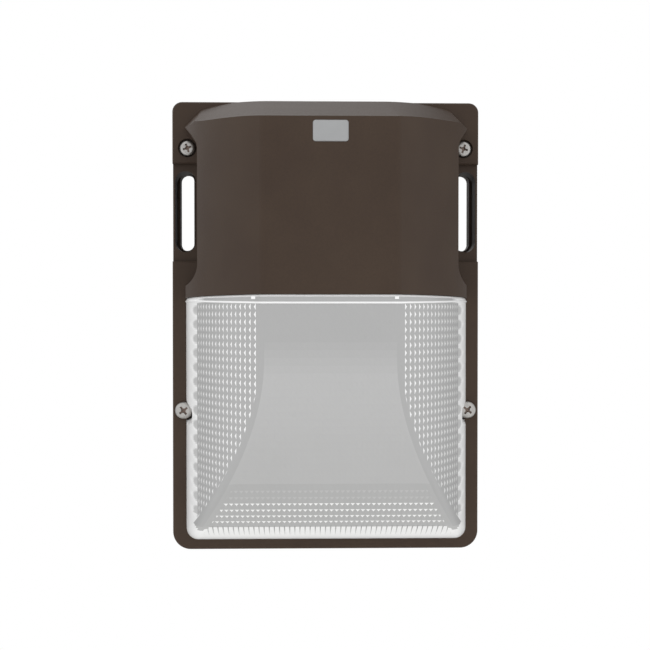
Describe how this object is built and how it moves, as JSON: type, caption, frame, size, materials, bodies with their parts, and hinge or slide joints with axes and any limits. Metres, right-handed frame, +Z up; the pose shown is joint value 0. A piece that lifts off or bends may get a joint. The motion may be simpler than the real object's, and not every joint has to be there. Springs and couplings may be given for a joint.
{
  "type": "wall pack light",
  "caption": "Outdoor wall light: die-cast rear box and hooded cover with a prismatic refractor, dusk sensor window and captive screws.",
  "frame": {"origin": "centre of the four wall screw holes, in the plane of the rear housing's back face", "axes": "+Y into the wall, -Y the way the light faces, +Z up, +X to the right as seen from the front"},
  "size_m": [0.152, 0.1079, 0.222],
  "materials": {
    "bronze_coat": "dark bronze powder coat on die-cast aluminium, fine texture, satin",
    "seal_rubber": "black silicone rubber, matte",
    "green_screw": "green-dyed zinc-plated steel",
    "refractor": "moulded prismatic polycarbonate, translucent",
    "sealant": "cured translucent silicone",
    "white_sheet": "aluminium sheet, high-reflectance white enamel",
    "screw_steel": "stainless steel, turned",
    "board_white": "aluminium-core board with white solder mask",
    "led_phosphor": "phosphor-filled silicone",
    "white_plastic": "moulded nylon",
    "zinc_steel": "zinc-plated sheet steel",
    "driver_plastic": "moulded flame-retardant ABS",
    "circuit_green": "glass-epoxy circuit board",
    "black_lead": "PVC insulation",
    "white_lead": "PVC insulation",
    "green_lead": "PVC insulation",
    "red_lead": "PVC insulation",
    "tinned_copper": "tinned copper",
    "photocell_lens": "translucent moulded polycarbonate"
  },
  "bodies": {
    "housing": {"rear_housing": "bronze_coat", "cover_gasket": "seal_rubber", "wall_gasket": "seal_rubber", "entry_grommet": "seal_rubber", "ground_screw": "green_screw"},
    "cover": {"front_cover": "bronze_coat", "lens": "refractor", "lens_seal": "sealant", "reflector": "white_sheet", "reflector_screws": "screw_steel", "led_board": "board_white", "board_screws": "screw_steel", "led_chips": "led_phosphor", "led_connector": "white_plastic", "lead_grommet": "seal_rubber", "driver_plate": "zinc_steel", "plate_screws": "screw_steel", "plate_bushes": "seal_rubber", "driver_base": "driver_plastic", "driver_lid": "driver_plastic", "driver_board": "circuit_green", "driver_screws": "screw_steel", "terminal_block": "white_plastic", "terminal_screws": "screw_steel", "line_lead": "black_lead", "neutral_lead": "white_lead", "earth_lug": "tinned_copper", "earth_lead": "green_lead", "earth_screw": "green_screw", "led_lead_red": "red_lead", "led_lead_black": "black_lead", "photocell_window": "photocell_lens", "photocell_sensor": "driver_plastic", "photocell_bracket": "driver_plastic", "photocell_screws": "screw_steel", "photocell_leads": "black_lead"},
    "screw_top_left": {"cover_screw_top_left": "screw_steel", "screw_ring_top_left": "seal_rubber"},
    "screw_top_right": {"cover_screw_top_right": "screw_steel", "screw_ring_top_right": "seal_rubber"},
    "screw_mid_left": {"cover_screw_mid_left": "screw_steel", "screw_ring_mid_left": "seal_rubber"},
    "screw_mid_right": {"cover_screw_mid_right": "screw_steel", "screw_ring_mid_right": "seal_rubber"}
  },
  "joints": [
    {"name": "cover_lift", "type": "slide", "parent": "housing", "child": "cover", "axis": [0, -1, 0], "range_m": [0, 0.06]},
    {"name": "screw_top_left_out", "type": "slide", "parent": "cover", "child": "screw_top_left", "axis": [0, -1, 0], "range_m": [0, 0.007]},
    {"name": "screw_top_right_out", "type": "slide", "parent": "cover", "child": "screw_top_right", "axis": [0, -1, 0], "range_m": [0, 0.007]},
    {"name": "screw_mid_left_out", "type": "slide", "parent": "cover", "child": "screw_mid_left", "axis": [0, -1, 0], "range_m": [0, 0.007]},
    {"name": "screw_mid_right_out", "type": "slide", "parent": "cover", "child": "screw_mid_right", "axis": [0, -1, 0], "range_m": [0, 0.007]}
  ]
}
